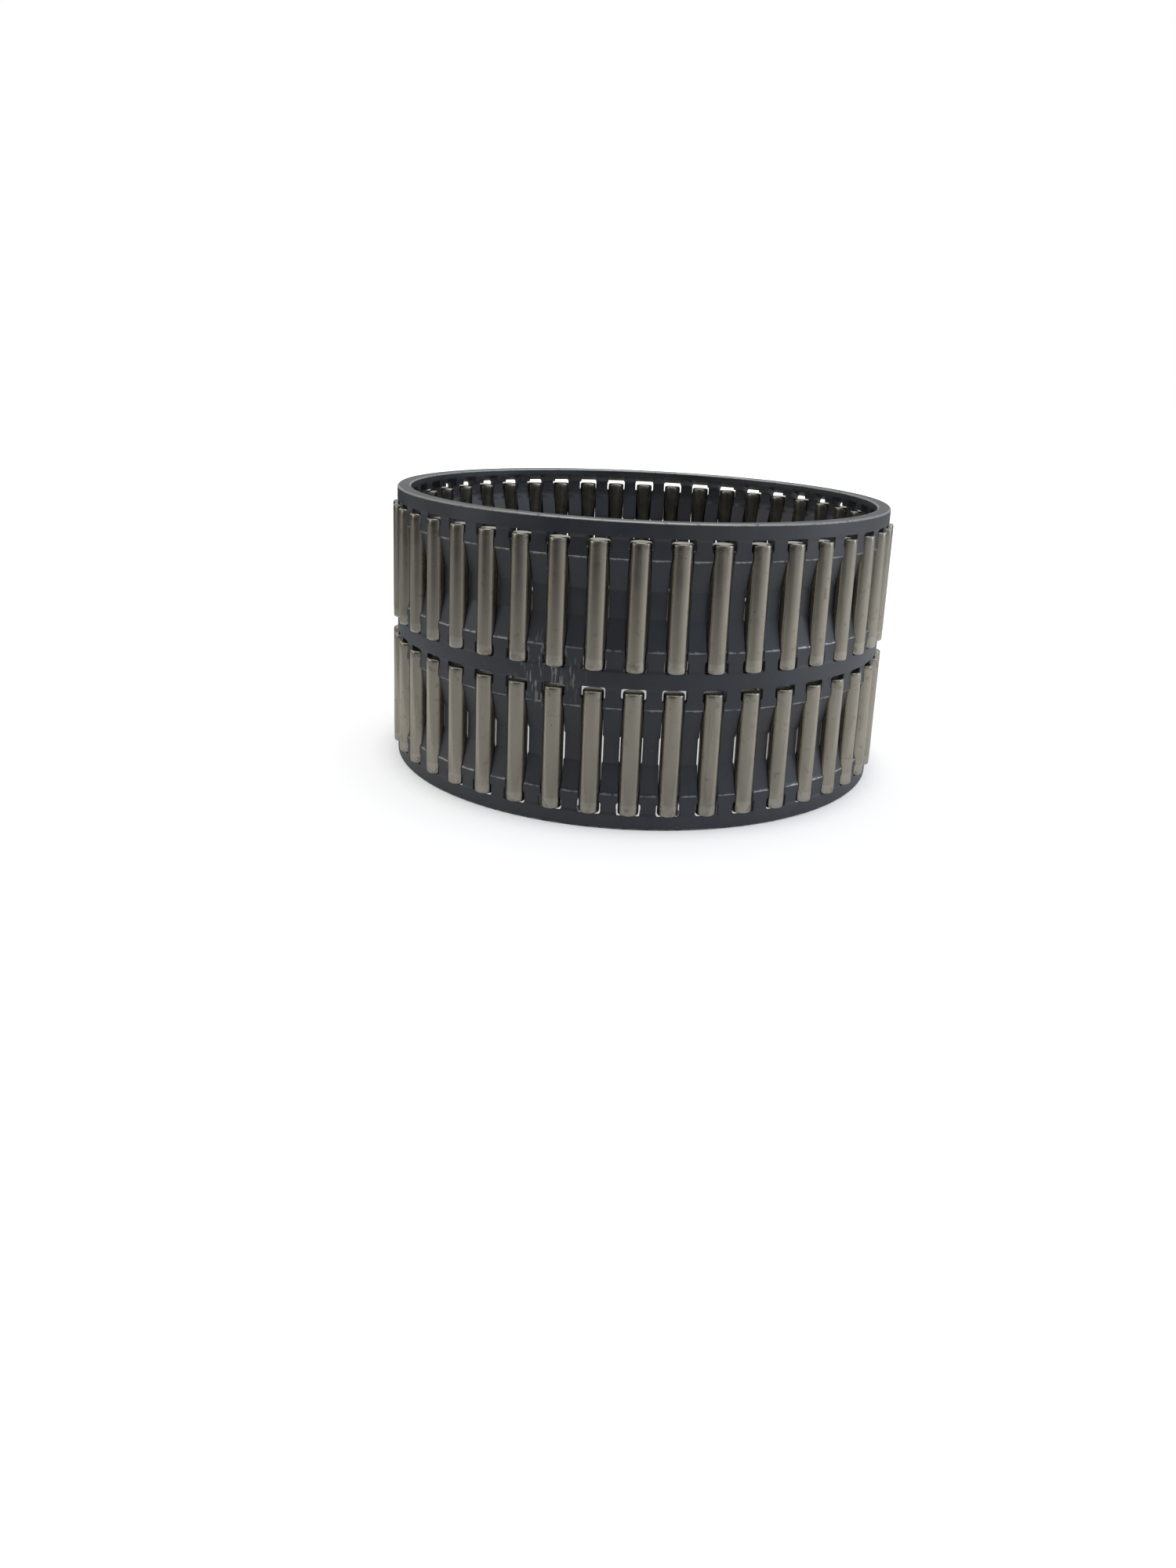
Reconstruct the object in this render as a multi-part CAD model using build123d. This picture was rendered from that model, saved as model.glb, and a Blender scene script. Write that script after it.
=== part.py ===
from build123d import *
import math
import os

# Double-row needle roller and cage assembly: one steel cage, and two rows of loose needles that
# run directly on a shaft (inside) and in a housing bore (outside). It has no rings of its own.
# Frame: millimetres, +Z along the bearing axis, origin at the centre of the lower end face.

# Driving dimensions
SHAFT_D = 100.0         # circle under the needles: the shaft raceway
NEEDLE_D = 4.0
NEEDLE_LENGTH = 23.8
NEEDLE_CORNER_R = 0.3
NEEDLES_PER_ROW = 44
CAGE_WIDTH = 58.0
CAGE_OUTER_D = 106.0
CAGE_BORE_D = 100.4
RIM_WIDTH = 2.95        # solid ring at each end of the cage
WEB_WIDTH = 3.1         # solid ring between the two rows
EDGE_CHAMFER = 0.25
END_PLAY = 0.05         # each needle stands this far above the lower end of its pocket

# Cage bars: M-shaped along the axis, high at the pocket ends and low at the middle
RIM_DROP_LENGTH = 0.4   # the bars fall from the rims to their lands over this length
LAND_FOOT_D = 105.7     # outer diameter of the bar lands beside the rims
LAND_D = 105.9          # outer diameter of the lands at their step
LAND_LENGTH = 3.8       # from the pocket end to the step
STEP_LENGTH = 0.6
STEP_D = 105.24         # outer diameter at the foot of the step
WAIST_EDGE_D = 103.24   # outer diameter where the slope meets the waist
WAIST_DROP_LENGTH = 0.3
WAIST_D = 103.0         # outer diameter of the low middle of the bars
SLOPE_END = 9.6         # from the pocket end to the low middle
RELIEF_D = 102.9        # inner diameter of the undercut beside the rims
RELIEF_START = 0.2
RELIEF_LENGTH = 3.2
RELIEF_SLOPE_END = 8.6

# Pockets
POCKET_END_HALF = 2.3   # half width of the relieved pocket ends
POCKET_MID_HALF = 2.16  # half width at the low middle of the bars
LIP_HALF = 1.92         # half width between the retaining lips, less than the needle's radius
GUIDE_CLEARANCE = 0.06  # radial gap between a needle and the round guide walls
END_ZONE = 2.0          # length of the relieved pocket end
MID_ZONE_START = 9.8
BLEND = 0.4             # axial length of each change of width
POCKET_CORNER_R = 0.35
RIM_SLANT = 1.45        # axial lean of the pocket ends at the rims, from the outside to the bore

PITCH_R = (SHAFT_D + NEEDLE_D) / 2
NEEDLE_R = NEEDLE_D / 2
POCKET_LENGTH = (CAGE_WIDTH - 2 * RIM_WIDTH - WEB_WIDTH) / 2
LOWER_POCKET_Z = RIM_WIDTH
UPPER_POCKET_Z = CAGE_WIDTH - RIM_WIDTH - POCKET_LENGTH
STEP_ANGLE = 360 / NEEDLES_PER_ROW
FIRST_ANGLE = -90.0     # needle pair 1 lies on -Y
CUT_DEPTH = 6.0         # radial length of a pocket cutter, more than the cage wall


def mirrored(points, length):
    """Points along one half of a span, then their mirror images to its far end."""
    return points + [(value, length - place) for value, place in reversed(points)]


def row_outside(base):
    """Outer profile of the bars of one row, bottom to top, as radius and height."""
    half = [
        (CAGE_OUTER_D / 2, 0),
        (LAND_FOOT_D / 2, RIM_DROP_LENGTH),
        (LAND_D / 2, LAND_LENGTH),
        (STEP_D / 2, LAND_LENGTH + STEP_LENGTH),
        (WAIST_EDGE_D / 2, SLOPE_END - WAIST_DROP_LENGTH),
        (WAIST_D / 2, SLOPE_END),
    ]
    return [(radius, base + place) for radius, place in mirrored(half, POCKET_LENGTH)]


def row_inside(base):
    """Inner profile of the bars of one row, bottom to top, as radius and height."""
    half = [
        (CAGE_BORE_D / 2, RELIEF_START),
        (RELIEF_D / 2, RELIEF_START),
        (RELIEF_D / 2, RELIEF_LENGTH),
        (CAGE_BORE_D / 2, RELIEF_SLOPE_END),
    ]
    return [(radius, base + place) for radius, place in mirrored(half, POCKET_LENGTH)]


def cage_blank():
    """The cage before its pockets are cut: the wall's section turned about the axis."""
    outer, inner = CAGE_OUTER_D / 2, CAGE_BORE_D / 2
    outside = [(outer - EDGE_CHAMFER, 0), (outer, EDGE_CHAMFER)]
    outside += row_outside(LOWER_POCKET_Z) + row_outside(UPPER_POCKET_Z)
    outside += [(outer, CAGE_WIDTH - EDGE_CHAMFER), (outer - EDGE_CHAMFER, CAGE_WIDTH)]
    inside = [(inner + EDGE_CHAMFER, 0), (inner, EDGE_CHAMFER)]
    inside += row_inside(LOWER_POCKET_Z) + row_inside(UPPER_POCKET_Z)
    inside += [(inner, CAGE_WIDTH - EDGE_CHAMFER), (inner + EDGE_CHAMFER, CAGE_WIDTH)]
    section = [(radius, 0, height) for radius, height in outside + inside[::-1]]
    return revolve(make_face(Polyline(*section, close=True)), Axis.Z)


def pocket_cutter(base):
    """The opening of one pocket on +X: wide ends and middle, with lips and round guides between."""
    half = [
        (POCKET_END_HALF, 0),
        (POCKET_END_HALF, END_ZONE),
        (LIP_HALF, END_ZONE + BLEND),
        (LIP_HALF, MID_ZONE_START - BLEND),
        (POCKET_MID_HALF, MID_ZONE_START),
    ]
    right = mirrored(half, POCKET_LENGTH)
    left = [(-value, place) for value, place in reversed(right)]
    outline = make_face(Polyline(*(right + left), close=True))
    ends = [v for v in outline.vertices() if v.Y < END_ZONE / 2 or v.Y > POCKET_LENGTH - END_ZONE / 2]
    outline = fillet(ends, POCKET_CORNER_R)
    radial = Plane(origin=(PITCH_R, 0, base), x_dir=(0, 1, 0), z_dir=(1, 0, 0))
    slot = extrude(radial * outline, CUT_DEPTH / 2, both=True)
    guide_start = END_ZONE / 2
    guide = Cylinder(
        NEEDLE_R + GUIDE_CLEARANCE,
        POCKET_LENGTH - 2 * guide_start,
        align=(Align.CENTER, Align.CENTER, Align.MIN),
    )
    return slot + Pos(PITCH_R, 0, base + guide_start) * guide


def rim_slant(rim_end, direction):
    """Cutter that slants the flat of one pocket end at a rim, between its rounded corners.

    direction is +1 for the upper rim and -1 for the lower one."""
    outer, inner = CAGE_OUTER_D / 2, CAGE_BORE_D / 2
    tip = inner - (outer - inner) / 2
    rise = RIM_SLANT * (outer - tip) / (outer - inner)
    section = [(outer, rim_end), (tip, rim_end), (tip, rim_end + direction * rise)]
    face = make_face(Polyline(*[(radius, 0, height) for radius, height in section], close=True))
    flat_half = POCKET_END_HALF - POCKET_CORNER_R
    return extrude(face, flat_half, dir=(0, 1, 0), both=True)


def needle_angles():
    """Angle about the bearing axis of each needle pair, in degrees."""
    return [FIRST_ANGLE + STEP_ANGLE * index for index in range(NEEDLES_PER_ROW)]


def cage():
    """One-piece cage: the turned blank with a pocket for every needle of both rows."""
    cutters = []
    lower = pocket_cutter(LOWER_POCKET_Z) + rim_slant(LOWER_POCKET_Z, -1)
    upper = pocket_cutter(UPPER_POCKET_Z) + rim_slant(UPPER_POCKET_Z + POCKET_LENGTH, 1)
    for cutter in (lower, upper):
        cutters += [Rot(0, 0, angle) * cutter for angle in needle_angles()]
    return cage_blank() - cutters


def needle():
    """One needle standing on the origin: a ground pin with flat ends and rounded corners."""
    pin = Cylinder(NEEDLE_R, NEEDLE_LENGTH, align=(Align.CENTER, Align.CENTER, Align.MIN))
    return fillet(pin.edges().filter_by(GeomType.CIRCLE), NEEDLE_CORNER_R)


def needle_pair(angle):
    """The lower and the upper needle at one angle, which lie on one line."""
    x = PITCH_R * math.cos(math.radians(angle))
    y = PITCH_R * math.sin(math.radians(angle))
    lower = Pos(x, y, LOWER_POCKET_Z + END_PLAY) * needle()
    upper = Pos(x, y, UPPER_POCKET_Z + END_PLAY) * needle()
    return Compound(children=[lower, upper])


def main():
    os.makedirs("parts", exist_ok=True)
    export_step(cage(), "parts/cage.step")
    for number, angle in enumerate(needle_angles(), start=1):
        export_step(needle_pair(angle), f"parts/needle_pair_{number:02d}.step")


main()
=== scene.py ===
"""Looks for the double-row needle roller and cage assembly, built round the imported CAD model."""

import math
import random

import bmesh
import bpy
from mathutils import Matrix, Vector


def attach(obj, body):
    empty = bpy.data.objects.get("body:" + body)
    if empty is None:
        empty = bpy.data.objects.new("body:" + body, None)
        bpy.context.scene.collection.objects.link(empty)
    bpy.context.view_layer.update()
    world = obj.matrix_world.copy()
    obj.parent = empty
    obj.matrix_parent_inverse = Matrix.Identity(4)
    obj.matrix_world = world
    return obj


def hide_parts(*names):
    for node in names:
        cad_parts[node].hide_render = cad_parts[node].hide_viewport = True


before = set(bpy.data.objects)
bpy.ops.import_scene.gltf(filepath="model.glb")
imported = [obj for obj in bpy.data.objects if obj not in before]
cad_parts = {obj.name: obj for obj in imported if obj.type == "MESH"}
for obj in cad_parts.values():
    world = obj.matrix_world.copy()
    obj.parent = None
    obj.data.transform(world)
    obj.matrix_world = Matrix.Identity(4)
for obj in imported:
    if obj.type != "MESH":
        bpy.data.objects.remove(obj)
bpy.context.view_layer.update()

MM = 0.001

# Camera: where it stands, which way it looks, and its lens
CAMERA_DISTANCE = 0.25763       # from the bearing axis, towards -Y
CAMERA_HEIGHT = 0.08405
CAMERA_YAW = math.radians(-0.6)
CAMERA_PITCH = math.radians(15.17)
CAMERA_ROLL = math.radians(-2.74)
LENS_MM = 26.8
SHIFT = (-0.022, -0.0642)

# Cage and needles, in millimetres, as in the CAD model
COUNT = 44                      # pockets in each row
HALF_STEP = math.pi / COUNT
FIRST_ANGLE = -math.pi / 2      # needle pair 1 lies on -Y
CAGE_R, BORE_R, CAGE_WIDTH = 53.0, 50.2, 58.0
PITCH_R, NEEDLE_R, NEEDLE_LENGTH = 52.0, 2.0, 23.8
POCKET_LENGTH = 24.5
POCKET_BASES = (2.95, 30.55)
END_PLAY = 0.05
ROW_PITCH = POCKET_BASES[1] - POCKET_BASES[0]
EDGE_CHAMFER = 0.25
OUTER_HALF = [(0.0, 53.0), (0.4, 52.85), (3.8, 52.95), (4.4, 52.62), (9.3, 51.62), (9.6, 51.5)]
INNER_HALF = [(0.2, 50.2), (0.28, 51.45), (3.2, 51.45), (8.6, 50.2)]
WIDTH_HALF = [(0.0, 2.3), (2.0, 2.3), (2.4, 1.92), (9.4, 1.92), (9.8, 2.16)]
GUIDE_R = 2.06
GUIDE_START = 1.0
POCKET_CORNER_R = 0.35
LAND_LENGTH = 3.8
RIM_SLANT = 1.45                # lean of the pocket ends at the rims, from the outside to the bore

SCUFF_CENTRE = (-0.0165, -0.0503, 0.0290)   # scraped patch on the web, left of the front, in metres
SCUFF_REACH = (0.009, 0.003)    # from its centre, in metres: where the scraping starts and is full

# Colours of the black oxide and of the needles
OXIDE_DARK, OXIDE_LIGHT = (0.020, 0.028, 0.041), (0.040, 0.049, 0.063)
OXIDE_TINT = (0.046, 0.040, 0.046)
OXIDE_STREAK = (0.045, 0.047, 0.050)
WORN_STEEL = (0.44, 0.44, 0.42)
STEEL_DARK, STEEL_LIGHT = (0.44, 0.40, 0.325), (0.555, 0.51, 0.42)
STEEL_STREAK = (0.42, 0.39, 0.35)
STEEL_HATCHED = (0.37, 0.34, 0.29)
STEEL_PALE = (0.66, 0.62, 0.54)
STEEL_STAIN = (0.30, 0.235, 0.165)
STEEL_PIT = (0.10, 0.080, 0.062)
HATCHING_LEAN = math.radians(32.0)

# Stage: the camera sees it white, and reflections see these greys, which are painted light and painted
# shade.
# Each ramp gives two places in metres, then the value at each.
FLOOR_SEEN = (0.93, 0.93, 0.93)
FLOOR_OVAL = (0.4, 1.0, 0.0)    # the floor's grey is measured along an oval, longer to the sides
# Painted shade further out and to the left, painted light near the foot and to the right, in the greys that
# reflections see
FLOOR_PAINTED_SHADE_OUTWARD = (0.08, 0.34, 0.62, 0.22)
FLOOR_PAINTED_LIGHT_AT_FOOT = (0.056, 0.068, 0.35, 0.0)
FLOOR_PAINTED_LIGHT_TO_RIGHT = (-0.02, 0.22, 0.0, 0.34)
FLOOR_PAINTED_SHADE_TO_LEFT = (-0.04, -0.20, 0.0, 0.12)
# Painted light: the floor glows for the camera alone, weaker inside the ring and near it, full far out
PAINTED_GLOW_INSIDE_RING = (0.046, 0.060, 0.45, 1.0)
PAINTED_GLOW_OUTWARD = (0.12, 0.8, 0.55, 1.0)
SURROUND_NEAR, SURROUND_FAR = (0.13, 0.135, 0.15), (0.55, 0.55, 0.54)
SURROUND_RIGHT, SURROUND_LEFT = (0.50, 0.56, 0.64), (0.46, 0.46, 0.45)
LIGHT_TARGET = (0.0, 0.0, 0.03)

# Fineness of the cage mesh
EDGE_ROUND = 0.07               # rounding of the pocket edges
PROFILE_ROUND = 0.5             # rounding of the bars' creases
MARGIN = 0.3                    # ring of the wall kept round each pocket
LONGEST_SPAN = 2.6              # between stations along a bar
CLOSEST = 0.06
CORNER_POINTS = 4
WALL_ROWS = (0.0, 0.37, 0.67, 1.0)
OUTER_TURNS = (90, 45)          # degrees round the outer edges of the pockets
INNER_TURNS = (90,)
OUTER_SKIN_ROWS = (0.12, 1.0)
INNER_SKIN_ROWS = (1.0,)
CORNER_GAP = 0.04               # least height between a corner's rows and the next
WALL_AIM = 0.62                 # share of a cell's half width that the rows of a pocket end reach
SLANT_DEPTH = 0.12              # part of the wall beside a rim that leans with its slanted end
SLANT_SPREAD = 0.2              # how far past the flat the lean goes
LEAD_DEPTH = 0.9                # from the pitch circle to where a wall's direction is taken
CHAMFER_ROUND = 0.12
WELD = 0.002                    # points closer than this become one

# Wear, from 0 to 1, and how far it reaches
POCKET_WEAR, RIM_WEAR, STEP_WEAR = 0.12, 0.82, 1.0
UPPER_RIM_SHARE = 1.3           # the upper rim's wear over the lower one's
RIM_WEAR_REACH = 0.07           # past the chamfer
STEP_WEAR_REACH = 0.12          # either side of a step
UNWORN_FROM = 0.14              # from the chamfer to the first unworn row

# Needle ends
NEEDLE_CORNER = 0.35
NEEDLE_DROP = 0.03              # how much smaller the radius is at the ends
END_RELIEFS = (1.1, 1.7)        # shortest and longest thinned end
NEEDLE_SEGMENTS = 40
CORNER_STEPS = 5


def set_camera():
    """The camera at the photographed viewing angle."""
    data = bpy.data.cameras.new("camera")
    data.lens = LENS_MM
    data.sensor_width = 36.0
    data.shift_x, data.shift_y = SHIFT
    data.clip_start, data.clip_end = 0.01, 20.0
    camera = bpy.data.objects.new("camera", data)
    bpy.context.scene.collection.objects.link(camera)
    level = math.cos(CAMERA_PITCH)
    forward = Vector((math.sin(CAMERA_YAW) * level, math.cos(CAMERA_YAW) * level, -math.sin(CAMERA_PITCH)))
    right = Vector((math.cos(CAMERA_YAW), -math.sin(CAMERA_YAW), 0.0))
    down = forward.cross(right)
    image_right = right * math.cos(CAMERA_ROLL) + down * math.sin(CAMERA_ROLL)
    image_up = right * math.sin(CAMERA_ROLL) - down * math.cos(CAMERA_ROLL)
    turn = Matrix((image_right, image_up, -forward)).transposed()
    camera.matrix_world = Matrix.Translation((0.0, -CAMERA_DISTANCE, CAMERA_HEIGHT)) @ turn.to_4x4()
    bpy.context.scene.camera = camera


class Nodes:
    """A short way to write a node tree."""

    def __init__(self, tree):
        self.tree = tree
        tree.nodes.clear()

    def add(self, kind, inputs=None, **settings):
        node = self.tree.nodes.new(kind)
        for name, value in settings.items():
            setattr(node, name, value)
        for key, value in (inputs or {}).items():
            if isinstance(value, bpy.types.NodeSocket):
                self.tree.links.new(value, node.inputs[key])
            else:
                node.inputs[key].default_value = value
        return node

    def math(self, operation, first, second=0.0, clamp=False):
        inputs = {0: first, 1: second}
        return self.add("ShaderNodeMath", inputs, operation=operation, use_clamp=clamp).outputs[0]

    def ramp(self, value, low, high, start=0.0, end=1.0):
        node = self.add(
            "ShaderNodeMapRange",
            {"Value": value, "From Min": low, "From Max": high, "To Min": start, "To Max": end},
            interpolation_type="SMOOTHSTEP",
        )
        return node.outputs["Result"]

    def mix(self, factor, first, second, blend="MIX"):
        node = self.add("ShaderNodeMix", {0: factor}, data_type="RGBA", blend_type=blend)
        for key, value in ((6, first), (7, second)):
            if isinstance(value, bpy.types.NodeSocket):
                self.tree.links.new(value, node.inputs[key])
            else:
                node.inputs[key].default_value = (*value, 1.0)
        return node.outputs[2]

    def scaled(self, coordinates, scale, turn=(0.0, 0.0, 0.0)):
        inputs = {"Vector": coordinates, "Scale": scale, "Rotation": turn}
        return self.add("ShaderNodeMapping", inputs).outputs[0]

    def noise(self, coordinates, scale=1.0, detail=2.0, roughness=0.5):
        node = self.add(
            "ShaderNodeTexNoise",
            {"Vector": coordinates, "Scale": scale, "Detail": detail, "Roughness": roughness},
        )
        return node.outputs["Fac"]


def new_material(name):
    material = bpy.data.materials.new(name)
    material.use_nodes = True
    return material, Nodes(material.node_tree)


def floor_material():
    """Pale floor: white to the camera. Reflections see a grey, paler near the foot and to the right, which
    is painted light there, and darker further out and to the left, which is painted shade.
    """
    material, nodes = new_material("floor")
    place = nodes.add("ShaderNodeNewGeometry").outputs["Position"]
    oval = nodes.add("ShaderNodeVectorMath", {0: place, 1: FLOOR_OVAL}, operation="MULTIPLY").outputs[0]
    distance = nodes.add("ShaderNodeVectorMath", {0: oval}, operation="LENGTH").outputs["Value"]
    # Painted shade further out and to the left and painted light near the foot and to the right, in the grey
    # that only reflections see
    painted_reflected_grey = nodes.ramp(distance, *FLOOR_PAINTED_SHADE_OUTWARD)
    painted_reflected_grey = nodes.math("ADD", painted_reflected_grey, nodes.ramp(distance, *FLOOR_PAINTED_LIGHT_AT_FOOT))
    sideways = nodes.add("ShaderNodeSeparateXYZ", {0: place}).outputs["X"]
    painted_reflected_grey = nodes.math("ADD", painted_reflected_grey, nodes.ramp(sideways, *FLOOR_PAINTED_LIGHT_TO_RIGHT))
    painted_reflected_grey = nodes.math("SUBTRACT", painted_reflected_grey, nodes.ramp(sideways, *FLOOR_PAINTED_SHADE_TO_LEFT), clamp=True)
    seen = nodes.add("ShaderNodeLightPath").outputs["Is Camera Ray"]
    grey = nodes.add("ShaderNodeCombineColor", {0: painted_reflected_grey, 1: painted_reflected_grey, 2: painted_reflected_grey}).outputs[0]
    colour = nodes.mix(seen, grey, FLOOR_SEEN)
    diffuse = nodes.add("ShaderNodeBsdfDiffuse", {"Color": colour})
    # Painted light: a glow that only the camera sees lifts the floor to white, weaker inside the ring and
    # near its foot
    from_axis = nodes.add("ShaderNodeVectorMath", {0: place}, operation="LENGTH").outputs["Value"]
    beside_ring = nodes.ramp(from_axis, *PAINTED_GLOW_INSIDE_RING)
    glowing = nodes.math("MULTIPLY", beside_ring, nodes.ramp(from_axis, *PAINTED_GLOW_OUTWARD))
    strength = nodes.math("MULTIPLY", seen, glowing)
    glow = nodes.add("ShaderNodeEmission", {"Color": (1.0, 1.0, 1.0, 1.0), "Strength": strength})
    shader = nodes.add("ShaderNodeAddShader", {0: diffuse.outputs[0], 1: glow.outputs[0]})
    nodes.add("ShaderNodeOutputMaterial", {"Surface": shader.outputs[0]})
    return material


def soft_light(name, place, target, size, power, colour=(1.0, 1.0, 1.0)):
    data = bpy.data.lights.new(name, "AREA")
    data.shape = "RECTANGLE"
    data.size, data.size_y = size
    data.energy = power
    data.color = colour
    lamp = bpy.data.objects.new(name, data)
    lamp.location = place
    lamp.rotation_euler = (Vector(target) - Vector(place)).to_track_quat("-Z", "Y").to_euler()
    lamp.visible_camera = False
    bpy.context.scene.collection.objects.link(lamp)


def set_stage():
    """A pale floor, a surround that only the camera sees as white, and soft lights."""
    mesh = bpy.data.meshes.new("floor")
    mesh.from_pydata([(-6, -6, 0), (6, -6, 0), (6, 6, 0), (-6, 6, 0)], [], [(0, 1, 2, 3)])
    floor = bpy.data.objects.new("floor", mesh)
    bpy.context.scene.collection.objects.link(floor)
    mesh.materials.append(floor_material())

    world = bpy.data.worlds.new("surround")
    world.use_nodes = True
    bpy.context.scene.world = world
    nodes = Nodes(world.node_tree)
    seen = nodes.add("ShaderNodeLightPath").outputs["Is Camera Ray"]
    toward = nodes.add("ShaderNodeSeparateXYZ", {0: nodes.add("ShaderNodeTexCoord").outputs["Generated"]})
    colour = nodes.mix(nodes.ramp(toward.outputs["Y"], -0.5, 0.7), SURROUND_NEAR, SURROUND_FAR)
    colour = nodes.mix(nodes.ramp(toward.outputs["X"], 0.05, 0.9, 0.0, 0.85), colour, SURROUND_RIGHT)
    colour = nodes.mix(nodes.ramp(toward.outputs["X"], -0.55, -1.0, 0.0, 0.7), colour, SURROUND_LEFT)
    colour = nodes.mix(seen, colour, (1.0, 1.0, 1.0))
    sky = nodes.add("ShaderNodeBackground", {"Color": colour, "Strength": 1.0})
    nodes.add("ShaderNodeOutputWorld", {"Surface": sky.outputs[0]})

    soft_light("top", (0.0, 0.05, 0.75), LIGHT_TARGET, (0.8, 0.8), 2.0)
    soft_light("left", (-0.55, -0.12, 0.22), LIGHT_TARGET, (0.25, 0.45), 0.2)
    soft_light("right", (0.60, -0.02, 0.22), LIGHT_TARGET, (0.3, 0.45), 0.4, (0.88, 0.94, 1.0))


def oxide_material():
    """Black-oxide steel: near black with blotches, fine grain, dull scuffs and edges worn to bare steel."""
    material, nodes = new_material("black_oxide")
    place = nodes.add("ShaderNodeTexCoord").outputs["Object"]
    blotch = nodes.noise(place, 90.0, 3.0)
    tint = nodes.noise(nodes.scaled(place, (1.0, 1.0, 0.6)), 170.0, 3.0)
    grain = nodes.noise(place, 5200.0, 2.0, 0.6)
    streak = nodes.noise(nodes.scaled(place, (1500.0, 1500.0, 70.0)), 1.0, 3.0)
    colour = nodes.mix(nodes.ramp(blotch, 0.35, 0.65), OXIDE_DARK, OXIDE_LIGHT)
    colour = nodes.mix(nodes.ramp(tint, 0.42, 0.7, 0.0, 0.75), colour, OXIDE_TINT)
    colour = nodes.mix(nodes.ramp(streak, 0.5, 0.8, 0.0, 0.35), colour, OXIDE_STREAK)
    edge = nodes.add("ShaderNodeAttribute", attribute_name="edge").outputs["Fac"]
    chips = nodes.noise(place, 900.0, 3.0, 0.6)
    worn = nodes.ramp(nodes.math("ADD", nodes.math("MULTIPLY", edge, 0.5), chips), 0.78, 0.98)
    scuff_gap = nodes.add("ShaderNodeVectorMath", {0: place, 1: SCUFF_CENTRE}, operation="DISTANCE")
    from_scuff = scuff_gap.outputs["Value"]
    scrapes = nodes.noise(nodes.scaled(place, (1900.0, 1900.0, 320.0)), 1.0, 2.0)
    scuffs = nodes.math("MULTIPLY", nodes.ramp(from_scuff, *SCUFF_REACH), nodes.ramp(scrapes, 0.56, 0.68))
    specks = nodes.ramp(nodes.noise(place, 2600.0, 1.0), 0.78, 0.84, 0.0, 0.8)
    worn = nodes.math("MAXIMUM", worn, nodes.math("MAXIMUM", scuffs, specks))
    colour = nodes.mix(worn, colour, WORN_STEEL)
    rough = nodes.ramp(blotch, 0.3, 0.7, 0.36, 0.46)
    rough = nodes.math("ADD", rough, nodes.math("MULTIPLY", nodes.math("SUBTRACT", grain, 0.5), 0.12))
    height = nodes.math("ADD", nodes.math("MULTIPLY", grain, 0.5), nodes.math("MULTIPLY", streak, 0.5))
    bump = nodes.add("ShaderNodeBump", {"Height": height, "Strength": 0.25, "Distance": 0.00003})
    shader = nodes.add(
        "ShaderNodeBsdfPrincipled",
        {
            "Base Color": colour,
            "Metallic": nodes.math("MULTIPLY", worn, 0.9),
            "Roughness": rough,
            "IOR": 1.8,
            "Normal": bump.outputs[0],
        },
    )
    nodes.add("ShaderNodeOutputMaterial", {"Surface": shader.outputs[0]})
    return material


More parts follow.
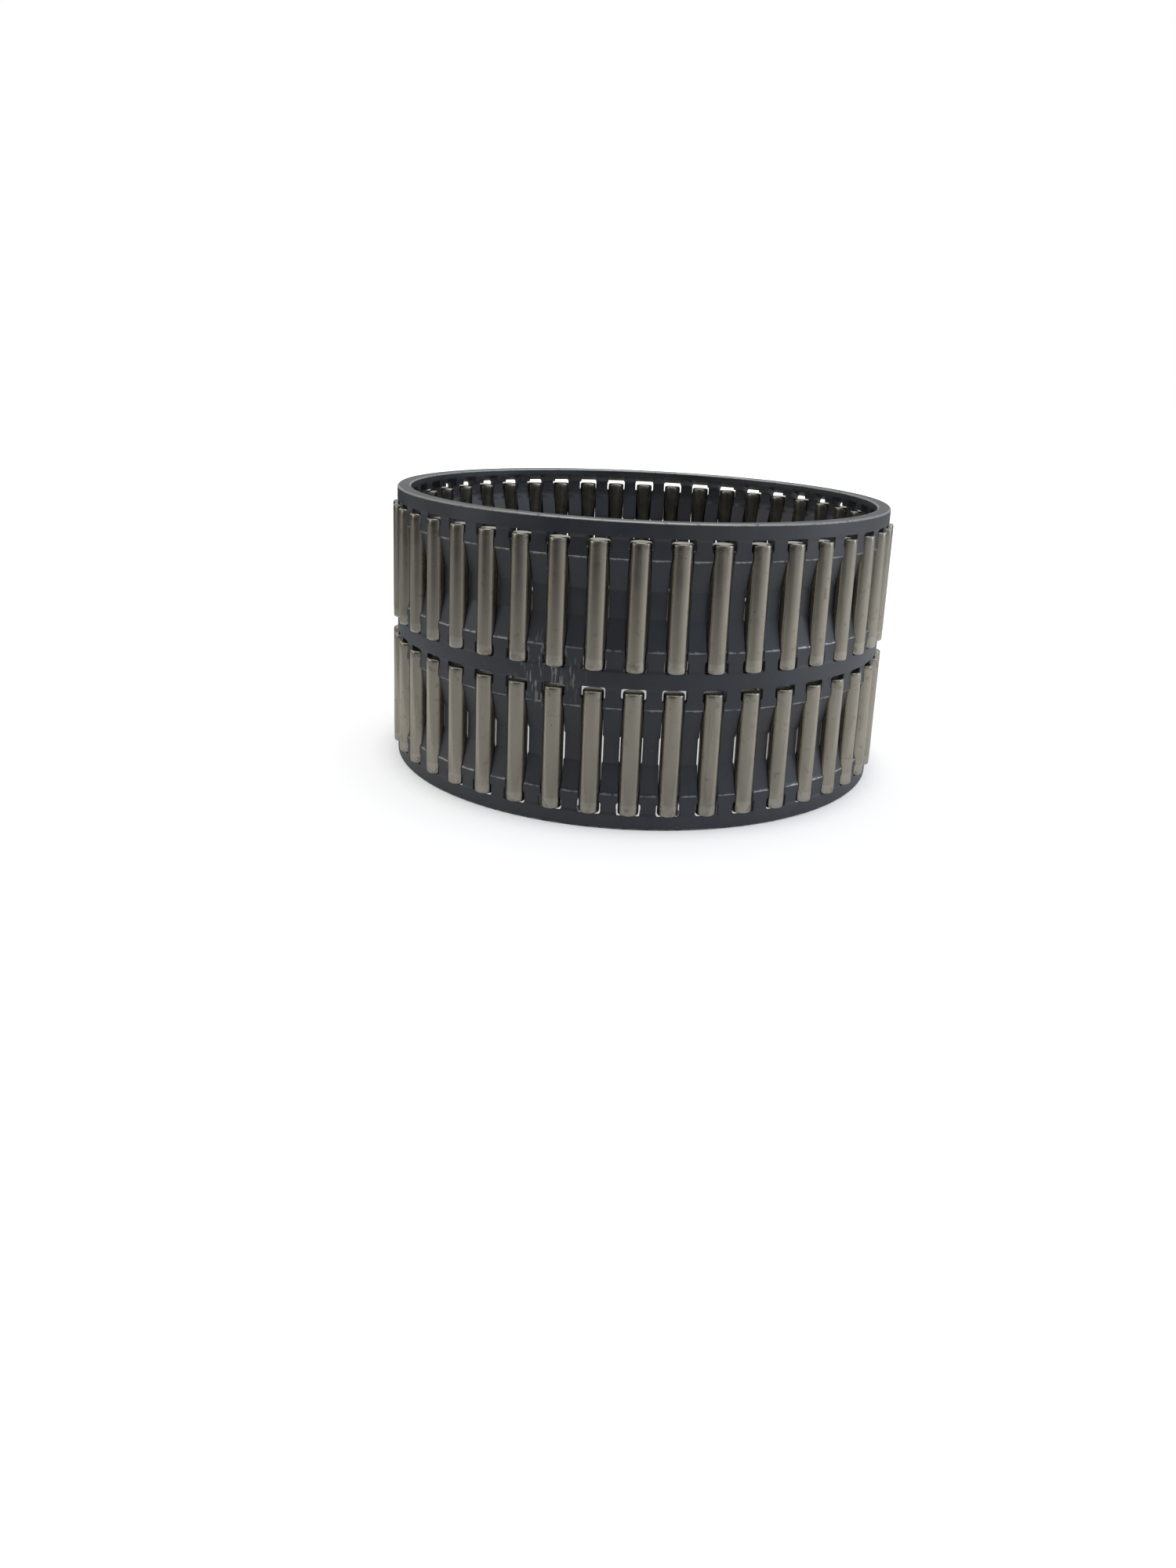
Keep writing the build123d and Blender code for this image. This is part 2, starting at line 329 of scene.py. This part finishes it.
def steel_material():
    """Ground bearing steel: satin, with lengthwise marks, slanting hatching, pits and stained ends."""
    material, nodes = new_material("needle_steel")
    place = nodes.add("ShaderNodeTexCoord").outputs["Object"]
    cloud = nodes.noise(place, 260.0, 3.0)
    streak = nodes.noise(nodes.scaled(place, (2600.0, 2600.0, 110.0)), 1.0, 3.0, 0.6)
    grain = nodes.noise(place, 4200.0, 2.0, 0.6)
    height_mm = nodes.math("DIVIDE", nodes.add("ShaderNodeSeparateXYZ", {0: place}).outputs["Z"], MM)
    along = nodes.math("MODULO", nodes.math("SUBTRACT", height_mm, POCKET_BASES[0] + END_PLAY), ROW_PITCH)
    wobble = nodes.math("MULTIPLY", nodes.noise(nodes.scaled(place, (90.0, 90.0, 0.0))), 2.4)
    from_end = nodes.math("MINIMUM", along, nodes.math("SUBTRACT", NEEDLE_LENGTH, along))
    pale_band = nodes.ramp(nodes.math("ADD", along, wobble), 3.5, 3.2)
    stained = nodes.ramp(from_end, 3.5, 0.3, 0.0, 0.09)
    spots = nodes.noise(place, 4600.0, 1.0)
    where = nodes.noise(place, 260.0, 2.0)
    spotted = nodes.math("ADD", nodes.math("ADD", spots, nodes.math("MULTIPLY", where, 0.6)), stained)
    pits = nodes.ramp(spotted, 1.055, 1.18, 0.0, 0.85)
    stain = nodes.ramp(nodes.math("ADD", nodes.noise(place, 620.0, 3.0), stained), 0.60, 0.76, 0.0, 0.55)
    slanting = nodes.scaled(place, (2600.0, 2600.0, 200.0), (0.0, HATCHING_LEAN, 0.0))
    hatching = nodes.noise(slanting, 1.0, 2.0)
    hatched = nodes.ramp(nodes.noise(nodes.scaled(place, (95.0, 95.0, 12.0))), 0.50, 0.60, 0.0, 0.5)
    colour = nodes.mix(cloud, STEEL_DARK, STEEL_LIGHT)
    colour = nodes.mix(nodes.ramp(streak, 0.35, 0.7, 0.0, 0.3), colour, STEEL_STREAK)
    hatched = nodes.math("MULTIPLY", hatched, nodes.ramp(hatching, 0.45, 0.62))
    colour = nodes.mix(hatched, colour, STEEL_HATCHED)
    colour = nodes.mix(nodes.math("MULTIPLY", pale_band, 0.45), colour, STEEL_PALE)
    colour = nodes.mix(stain, colour, STEEL_STAIN)
    colour = nodes.mix(pits, colour, STEEL_PIT)
    rough = nodes.math("ADD", nodes.ramp(cloud, 0.3, 0.7, 0.13, 0.19), nodes.math("MULTIPLY", grain, 0.08))
    rough = nodes.math("ADD", rough, nodes.math("MULTIPLY", pits, 0.3), clamp=True)
    height = nodes.math("ADD", nodes.math("MULTIPLY", streak, 0.6), nodes.math("MULTIPLY", grain, 0.4))
    height = nodes.math("SUBTRACT", height, pits)
    bump = nodes.add("ShaderNodeBump", {"Height": height, "Strength": 0.3, "Distance": 0.00002})
    shader = nodes.add(
        "ShaderNodeBsdfPrincipled",
        {"Base Color": colour, "Roughness": rough, "Metallic": 1.0, "Normal": bump.outputs[0]},
    )
    nodes.add("ShaderNodeOutputMaterial", {"Surface": shader.outputs[0]})
    return material


def mirrored(half):
    """A curve along half a pocket, then its mirror image to the far end."""
    return half + [(POCKET_LENGTH - place, value) for place, value in reversed(half)]


def value_at(curve, place):
    """The value of a run of straight lines at a place, held constant beyond its ends."""
    if place <= curve[0][0]:
        return curve[0][1]
    for (z0, r0), (z1, r1) in zip(curve, curve[1:]):
        if place <= z1:
            return r0 + (r1 - r0) * (place - z0) / (z1 - z0)
    return curve[-1][1]


def rounded(points, radius, closed=False):
    """A run of straight lines with its corners rounded."""
    count = len(points)
    result = []
    for index, point in enumerate(points):
        if not closed and index in (0, count - 1):
            result.append(tuple(point))
            continue
        here = Vector(point)
        before = Vector(points[index - 1]) - here
        after = Vector(points[(index + 1) % count]) - here
        turn = math.pi - before.angle(after)
        if turn < math.radians(12.0):
            result.append(tuple(point))
            continue
        steps = 1 if turn < math.radians(25.0) else 2
        reach = min(radius * math.tan(turn / 2), 0.45 * before.length, 0.45 * after.length)
        start = here + before.normalized() * reach
        end = here + after.normalized() * reach
        for step in range(steps + 1):
            part = step / steps
            result.append(tuple(start * (1 - part) ** 2 + here * 2 * part * (1 - part) + end * part ** 2))
    return result


OUTER_CURVE = rounded(
    [(-1.0, CAGE_R)] + mirrored(OUTER_HALF) + [(POCKET_LENGTH + 1.0, CAGE_R)],
    PROFILE_ROUND,
)
INNER_CURVE = [(-1.0, BORE_R)] + mirrored(INNER_HALF) + [(POCKET_LENGTH + 1.0, BORE_R)]
WIDTH_CURVE = rounded(mirrored(WIDTH_HALF), 0.3)


def stations():
    """Heights of the mesh's rows along a bar: every bend of its profiles, and no long gaps."""
    wanted = sorted(place for curve in (OUTER_CURVE, INNER_CURVE, WIDTH_CURVE) for place, _ in curve)
    low, high = POCKET_CORNER_R + CORNER_GAP, POCKET_LENGTH - POCKET_CORNER_R - CORNER_GAP
    chosen = [POCKET_CORNER_R]
    for place in wanted + [POCKET_LENGTH - POCKET_CORNER_R]:
        last = place == POCKET_LENGTH - POCKET_CORNER_R
        if not last and not (low < place < high and place - chosen[-1] > CLOSEST):
            continue
        gaps = math.ceil((place - chosen[-1]) / LONGEST_SPAN)
        start = chosen[-1]
        chosen += [start + (place - start) * step / gaps for step in range(1, gaps + 1)]
    return chosen


def half_width(place, radius):
    """Half width of a pocket at a height and a radius: its straight walls, or the round guides."""
    width = value_at(WIDTH_CURVE, place)
    if GUIDE_START < place < POCKET_LENGTH - GUIDE_START:
        across = (radius ** 2 - GUIDE_R ** 2 + PITCH_R ** 2) / (2 * PITCH_R)
        width = max(width, math.sqrt(max(radius ** 2 - across ** 2, 0.0)))
    return width


def rim_lean(t, z, radius):
    """How far the slanted rim end moves a point of the pocket's wall down, at a radius."""
    flat = WIDTH_HALF[0][1] - POCKET_CORNER_R
    inside = z < SLANT_DEPTH and abs(t) < flat + SLANT_SPREAD
    return RIM_SLANT * min(max((CAGE_R - radius) / (CAGE_R - BORE_R), 0.0), 1.0) if inside else 0.0


def pocket_path():
    """The points round a pocket, anticlockwise seen from outside, from the lower left corner.

    Each is a kind, a place and an aim: the end of its row of the mesh, on the border of its cell."""
    flat = WIDTH_HALF[0][1] - POCKET_CORNER_R
    wall_aim = HALF_STEP * WALL_AIM
    across = [flat * (step / 2) for step in range(-1, 2)]
    arc = [math.pi / 2 * step / (CORNER_POINTS - 1) for step in range(CORNER_POINTS)]
    aims = [(wall_aim, -MARGIN), (HALF_STEP, -MARGIN), (HALF_STEP, CORNER_GAP), (HALF_STEP, POCKET_CORNER_R)]
    corner = [
        (flat + POCKET_CORNER_R * math.sin(turn), POCKET_CORNER_R * (1 - math.cos(turn)), aim)
        for turn, aim in zip(arc, aims)
    ]
    top = POCKET_LENGTH
    path = [("fixed", (t, 0.0), (t / flat * wall_aim, -MARGIN)) for t in across]
    path += [("fixed", (t, z), aim) for t, z, aim in corner]
    path += [("right", z, (HALF_STEP, z)) for z in stations()[1:-1]]
    path += [("fixed", (t, top - z), (aim[0], top - aim[1])) for t, z, aim in reversed(corner)]
    path += [("fixed", (-t, top), (-t / flat * wall_aim, top + MARGIN)) for t in across]
    path += [("fixed", (-t, top - z), (-aim[0], top - aim[1])) for t, z, aim in corner]
    path += [("left", z, (-HALF_STEP, z)) for z in reversed(stations()[1:-1])]
    path += [("fixed", (-t, z), (-aim[0], aim[1])) for t, z, aim in reversed(corner)]
    return path


def on_wall(step, radius):
    """Where a point of the pocket's path lies at a radius: sideways and up."""
    kind, place, _ = step
    if kind == "fixed":
        return place
    side = 1 if kind == "right" else -1
    return side * half_width(place, radius), place


def outward(path, radius):
    """The directions, sideways and up, that lead from the pocket into the wall at each point."""
    spots = [Vector(on_wall(step, radius)) for step in path]
    result = []
    for index in range(len(spots)):
        along = spots[(index + 1) % len(spots)] - spots[index - 1]
        result.append(Vector((along.y, -along.x)).normalized())
    return result


def cell_rings():
    """The mesh round one pocket as rings, inner skin to outer skin: angle, height, radius, edge."""
    path = pocket_path()
    rings = []
    sides = ((INNER_CURVE, -1, INNER_TURNS, INNER_SKIN_ROWS), (OUTER_CURVE, 1, OUTER_TURNS, OUTER_SKIN_ROWS))
    for curve, side, turns, skin_rows in sides:
        heights = [step[1] if step[0] != "fixed" else step[1][1] for step in path]
        reach = [value_at(curve, height) - side * EDGE_ROUND for height in heights]
        leads = outward(path, PITCH_R + side * LEAD_DEPTH)
        rounds = []
        for turn in map(math.radians, turns):
            ring = []
            for index, step in enumerate(path):
                t, z = on_wall(step, reach[index])
                z -= rim_lean(t, z, reach[index])
                shift = EDGE_ROUND * (1 - math.cos(turn))
                t, z = t + leads[index].x * shift, z + leads[index].y * shift
                radius = value_at(curve, z) - side * EDGE_ROUND * (1 - math.sin(turn))
                ring.append((math.asin(t / radius), z, radius, POCKET_WEAR))
            rounds.append(ring)
        skin = []
        for part in skin_rows:
            ring = []
            for (angle, z, _, _), step in zip(rounds[0], path):
                aim = step[2]
                border = aim[1] - (RIM_SLANT if side < 0 and aim[1] < 0 else 0.0)
                height = z + (border - z) * part
                ring.append((angle + (aim[0] - angle) * part, height, value_at(curve, height), 0.0))
            skin.append(ring)
        if side < 0:
            rings += skin[::-1] + rounds
        else:
            rounds_out, skin_out = rounds[::-1], skin
    for part in WALL_ROWS:
        ring = []
        for step in path:
            height = step[1] if step[0] != "fixed" else step[1][1]
            low = value_at(INNER_CURVE, height) + EDGE_ROUND
            high = value_at(OUTER_CURVE, height) - EDGE_ROUND
            radius = low + (high - low) * part
            t, z = on_wall(step, radius)
            ring.append((math.asin(t / radius), z - rim_lean(t, z, radius), radius, 0.0))
        rings.append(ring)
    return rings + rounds_out + skin_out


def band_angles():
    """Angles of the plain bands' points within one pocket's share of the circle."""
    aims = [step[2] for step in pocket_path() if abs(step[2][1] + MARGIN) < 1e-9]
    return sorted(angle for angle, _ in aims)[:-1]


def band_profiles():
    """The plain bands between the cells, as height, radius and edge wear."""
    low, high = POCKET_BASES[0] - MARGIN, POCKET_BASES[0] + POCKET_LENGTH + MARGIN
    outer, inner, cut = CAGE_R, BORE_R, EDGE_CHAMFER
    beside = cut + UNWORN_FROM
    rim = [(low, outer), (beside, outer), (cut, outer), (0.0, outer - cut), (0.0, outer - beside)]
    rim += [(0.0, inner + beside), (0.0, inner + cut), (cut, inner), (beside, inner)]
    rim += [(low - RIM_SLANT, inner)]
    rim = rounded(rim, CHAMFER_ROUND)
    middle = POCKET_BASES[1] - MARGIN
    spans = [high, (high + middle) / 2, middle]
    return [
        [(z, r, rim_edge(z, r)) for z, r in rim],
        [(CAGE_WIDTH - z, r, rim_edge(z, r) * UPPER_RIM_SHARE) for z, r in reversed(rim)],
        [(z, outer, 0.0) for z in reversed(spans)],
        [(z, inner, 0.0) for z in spans],
    ]


def rim_edge(z, r):
    """How much a point of a rim's section is worn: only on its edges."""
    near = EDGE_CHAMFER + RIM_WEAR_REACH
    return RIM_WEAR if z < near and min(CAGE_R - r, r - BORE_R) < near else 0.0


def step_edge(place):
    """Wear of the bars' raised steps."""
    nearest = min(abs(place - LAND_LENGTH), abs(POCKET_LENGTH - place - LAND_LENGTH))
    return STEP_WEAR if nearest < STEP_WEAR_REACH else 0.0


def cage_mesh():
    """The cage as one closed mesh: a ring-shaped patch round every pocket, and plain bands between."""
    points, faces, edges = [], [], []

    def place(angle, z, radius, edge):
        points.append((radius * math.cos(angle) * MM, radius * math.sin(angle) * MM, z * MM))
        edges.append(edge)

    rings = cell_rings()
    around = len(rings[0])
    for base in POCKET_BASES:
        upper = base == POCKET_BASES[1]
        for pocket in range(COUNT):
            turn = FIRST_ANGLE + 2 * HALF_STEP * pocket
            start = len(points)
            for level, ring in enumerate(rings):
                for angle, z, radius, edge in ring:
                    if level >= len(rings) - len(OUTER_SKIN_ROWS):
                        edge = step_edge(z)
                    place(angle + turn, base + (POCKET_LENGTH - z if upper else z), radius, edge)
            for level in range(len(rings) - 1):
                for index in range(around):
                    a = start + level * around + index
                    b = start + level * around + (index + 1) % around
                    faces.append((a, b, b + around, a + around))
    angles = band_angles()
    circle = [FIRST_ANGLE + 2 * HALF_STEP * pocket + angle for pocket in range(COUNT) for angle in angles]
    for profile in band_profiles():
        start = len(points)
        for z, radius, edge in profile:
            for angle in circle:
                place(angle, z, radius, edge)
        for level in range(len(profile) - 1):
            for index in range(len(circle)):
                a = start + level * len(circle) + index
                b = start + level * len(circle) + (index + 1) % len(circle)
                faces.append((a, b, b + len(circle), a + len(circle)))
    mesh = bpy.data.meshes.new("cage")
    mesh.from_pydata(points, [], faces)
    mesh.attributes.new("edge", "FLOAT", "POINT").data.foreach_set("value", edges)
    shape = bmesh.new()
    shape.from_mesh(mesh)
    bmesh.ops.remove_doubles(shape, verts=shape.verts, dist=WELD * MM)
    bmesh.ops.recalc_face_normals(shape, faces=shape.faces)
    for face in shape.faces:
        face.smooth = True
    shape.to_mesh(mesh)
    shape.free()
    return mesh


def needle_profile(end_relief):
    """Half the section of a needle, bottom to top, as height and radius: flat ends, round corners."""
    length, radius = NEEDLE_LENGTH, NEEDLE_R
    corner, drop = NEEDLE_CORNER, NEEDLE_DROP
    arc = [math.pi / 2 * step / CORNER_STEPS for step in range(CORNER_STEPS + 1)]
    low = [(0.0, radius * 0.45), (0.0, radius - drop - corner - 0.08)]
    low += [(corner * (1 - math.cos(a)), radius - drop - corner + corner * math.sin(a)) for a in arc]
    low += [(end_relief * 0.5, radius - drop * 0.4), (end_relief, radius)]
    low += [(end_relief + 0.1, radius), (length * 0.3, radius)]
    return low + [(length - z, r) for z, r in reversed(low)]


def needle_mesh(name, number, draw):
    """The lower and the upper needle of one pair, with their places in the mesh."""
    points, faces = [], []
    segments = NEEDLE_SEGMENTS
    angle = FIRST_ANGLE + 2 * HALF_STEP * (number - 1)
    centre = (PITCH_R * math.cos(angle), PITCH_R * math.sin(angle))
    for base in POCKET_BASES:
        profile = needle_profile(draw.uniform(*END_RELIEFS))
        start = len(points)
        for z, radius in profile:
            for step in range(segments):
                turn = 2 * math.pi * step / segments
                x = centre[0] + radius * math.cos(turn)
                y = centre[1] + radius * math.sin(turn)
                points.append((x * MM, y * MM, (base + END_PLAY + z) * MM))
        for level in range(len(profile) - 1):
            for step in range(segments):
                a = start + level * segments + step
                b = start + level * segments + (step + 1) % segments
                faces.append((a, b, b + segments, a + segments))
        for level, flip in ((0, True), (len(profile) - 1, False)):
            ring = [start + level * segments + step for step in range(segments)]
            points.append((centre[0] * MM, centre[1] * MM, (base + END_PLAY + profile[level][0]) * MM))
            middle = len(points) - 1
            for step in range(segments):
                a, b = ring[step], ring[(step + 1) % segments]
                faces.append((b, a, middle) if flip else (a, b, middle))
    mesh = bpy.data.meshes.new(name)
    mesh.from_pydata(points, [], faces)
    mesh.polygons.foreach_set("use_smooth", [True] * len(faces))
    return mesh


def add_piece(name, mesh, material, body, node):
    piece = bpy.data.objects.new(name, mesh)
    bpy.context.scene.collection.objects.link(piece)
    mesh.materials.append(material)
    even = piece.modifiers.new("even normals", "WEIGHTED_NORMAL")
    even.weight = 60
    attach(piece, body)
    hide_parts(node)


set_camera()
set_stage()
oxide = oxide_material()
steel = steel_material()
draw = random.Random(7)
add_piece("cage_body", cage_mesh(), oxide, "cage", "cage")
for number in range(1, COUNT + 1):
    node = f"needle_pair_{number:02d}"
    add_piece(f"needles_{number:02d}", needle_mesh(node, number, draw), steel, node, node)

bpy.context.scene.view_settings.view_transform = "Standard"
